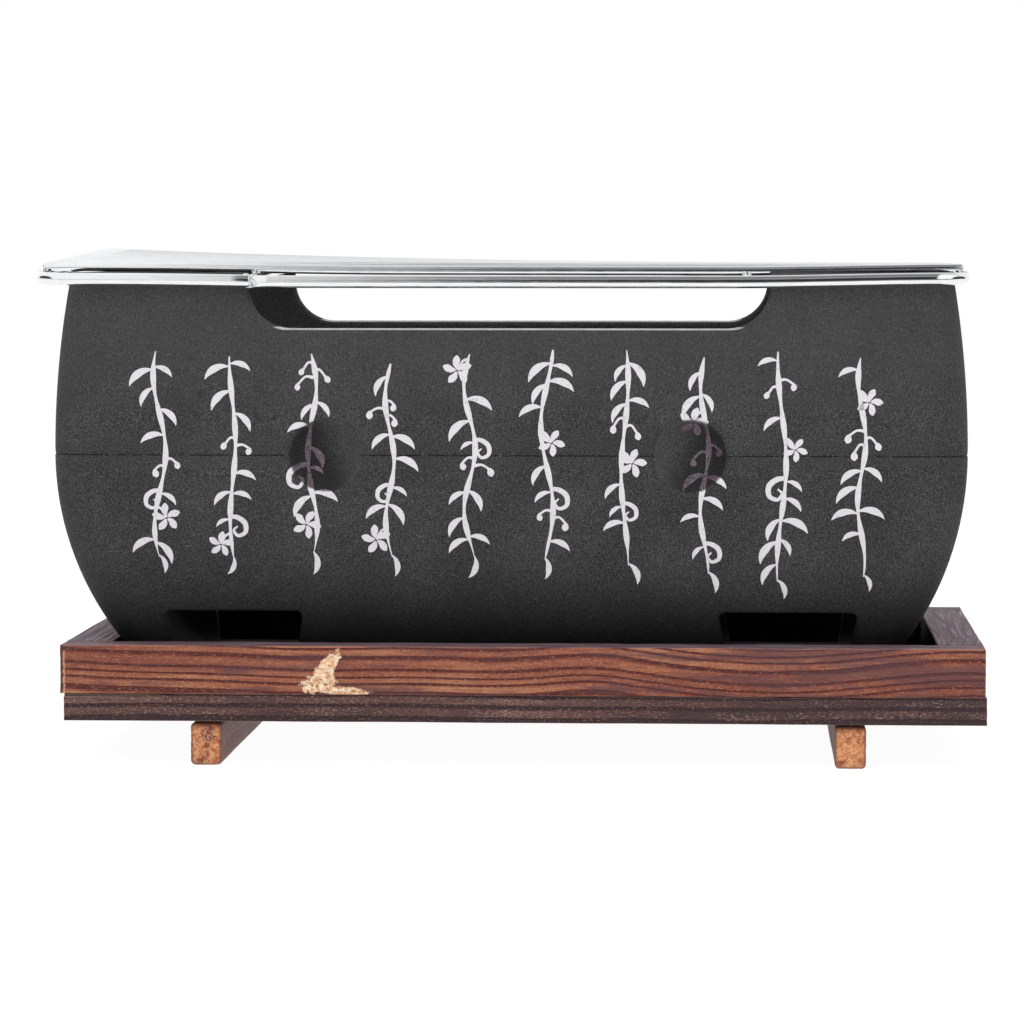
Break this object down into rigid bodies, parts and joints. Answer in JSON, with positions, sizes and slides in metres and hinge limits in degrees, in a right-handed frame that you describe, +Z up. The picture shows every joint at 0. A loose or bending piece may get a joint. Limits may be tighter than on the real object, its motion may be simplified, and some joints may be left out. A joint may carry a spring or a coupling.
{
  "type": "hibachi grill",
  "caption": "Table-top charcoal grill: a cast metal firebox with air vents and handle notches, a loose charcoal grate and a wire net, standing in a low wooden tray on skids.",
  "frame": {"origin": "middle of the whole grill's length and depth, on the surface the skids stand on", "axes": "+X along the grill's long side to the right seen from the front, +Y to the back, +Z up"},
  "size_m": [0.2416, 0.129, 0.128],
  "materials": {
    "charred_wood": "charred and brushed softwood",
    "dark_wood": "dark charred board",
    "foot_wood": "scorched end grain",
    "zinc_steel": "bright zinc plated",
    "black_casting": "sand-textured black coating",
    "blackened_steel": "heat-blackened sheet",
    "chromed_wire": "polished wire"
  },
  "bodies": {
    "wood_base": {"front_rail": "charred_wood", "rear_rail": "charred_wood", "left_rail": "charred_wood", "right_rail": "charred_wood", "base_board": "dark_wood", "left_foot": "foot_wood", "right_foot": "foot_wood", "rail_nail_1": "zinc_steel", "rail_nail_2": "zinc_steel", "rail_nail_3": "zinc_steel", "rail_nail_4": "zinc_steel", "rail_nail_5": "zinc_steel", "rail_nail_6": "zinc_steel", "rail_nail_7": "zinc_steel", "rail_nail_8": "zinc_steel", "foot_screw_1": "zinc_steel", "foot_screw_2": "zinc_steel", "foot_screw_3": "zinc_steel", "foot_screw_4": "zinc_steel"},
    "firebox": {"firebox": "black_casting"},
    "charcoal_grate": {"charcoal_grate": "blackened_steel"},
    "grill_net": {"net_rim": "chromed_wire", "cross_wire_left": "chromed_wire", "cross_wire_right": "chromed_wire", "long_wire_1": "chromed_wire", "long_wire_2": "chromed_wire", "long_wire_3": "chromed_wire", "long_wire_4": "chromed_wire", "long_wire_5": "chromed_wire", "long_wire_6": "chromed_wire", "long_wire_7": "chromed_wire", "long_wire_8": "chromed_wire", "long_wire_9": "chromed_wire", "long_wire_10": "chromed_wire", "long_wire_11": "chromed_wire", "long_wire_12": "chromed_wire"}
  },
  "joints": [
    {"name": "firebox_lift", "type": "slide", "parent": "wood_base", "child": "firebox", "axis": [0, 0, 1], "range_m": [0, 0.04]},
    {"name": "grate_lift", "type": "slide", "parent": "firebox", "child": "charcoal_grate", "axis": [0, 0, 1], "range_m": [0, 0.06]},
    {"name": "net_lift", "type": "slide", "parent": "charcoal_grate", "child": "grill_net", "axis": [0, 0, 1], "range_m": [0, 0.04]}
  ]
}
